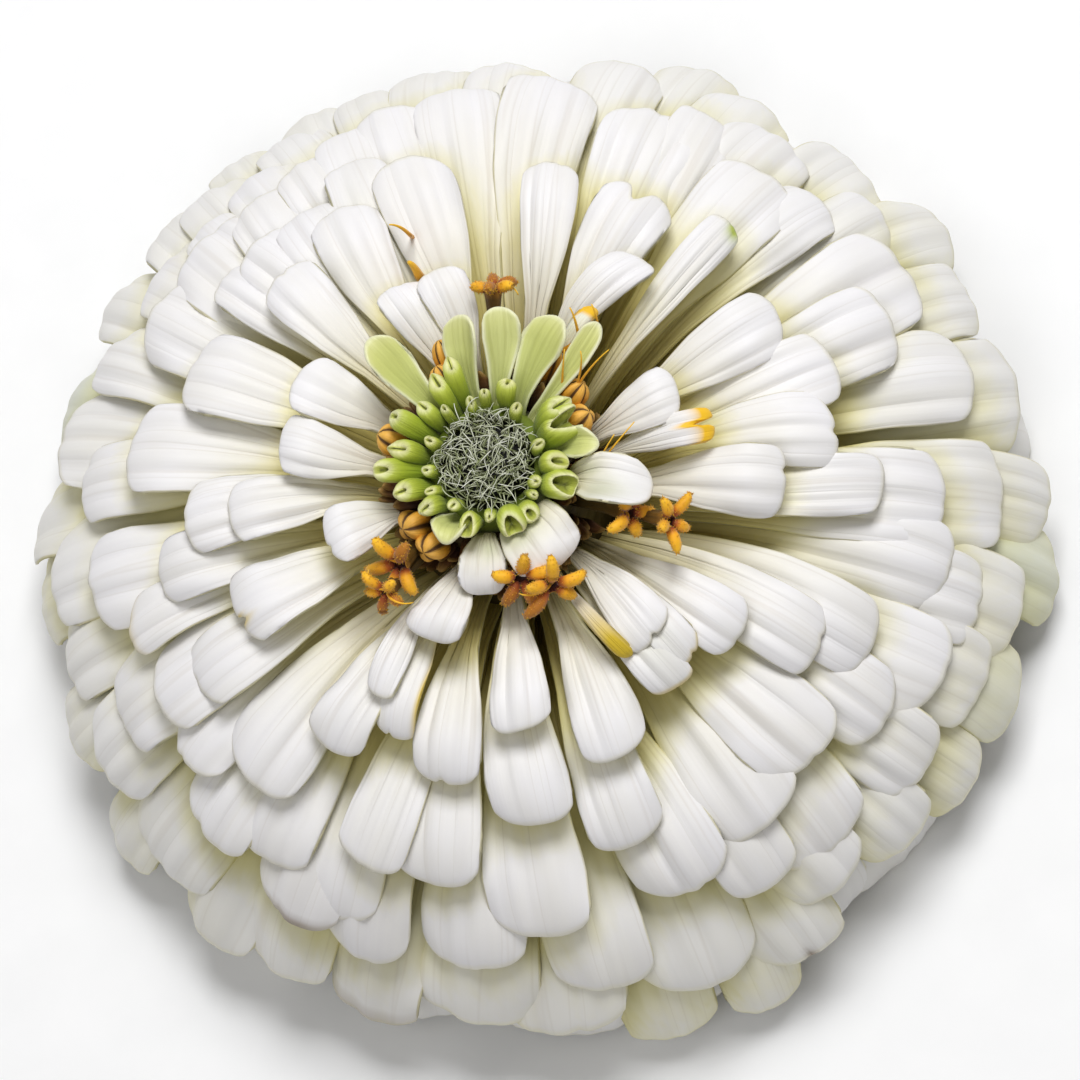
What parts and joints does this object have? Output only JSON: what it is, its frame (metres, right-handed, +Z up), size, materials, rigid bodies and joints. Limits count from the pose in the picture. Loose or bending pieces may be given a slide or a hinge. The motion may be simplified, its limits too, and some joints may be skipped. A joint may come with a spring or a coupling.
{
  "type": "polar bear zinnia bloom",
  "caption": "Fully double domed zinnia bloom with layered white petals round a small lime and orange disc, cut short and resting face up.",
  "frame": {"origin": "under the middle of the bloom's outline, on the surface that its lowest petals rest on", "axes": "+Z up along the bloom's axis, from the cut stem to the disc; -Y towards the viewer"},
  "size_m": [0.1053, 0.1046, 0.0442],
  "materials": {
    "stem_green": "soft green plant tissue with a fine nap and dark dry bract margins",
    "petal_white": "satin, slightly translucent white petal with faint lengthwise veins, yellow-green in the claw",
    "floret_orange": "velvety golden orange with brown stripes and a dark throat",
    "floret_lime": "satin lime green with pale rims",
    "chaff_grey": "dry grey-green bristles with dark gaps"
  },
  "bodies": {
    "root": {"stem_and_bracts": "stem_green", "ray_petals": "petal_white", "disc_florets": "floret_orange", "young_florets": "floret_lime", "chaff": "chaff_grey"}
  },
  "joints": []
}
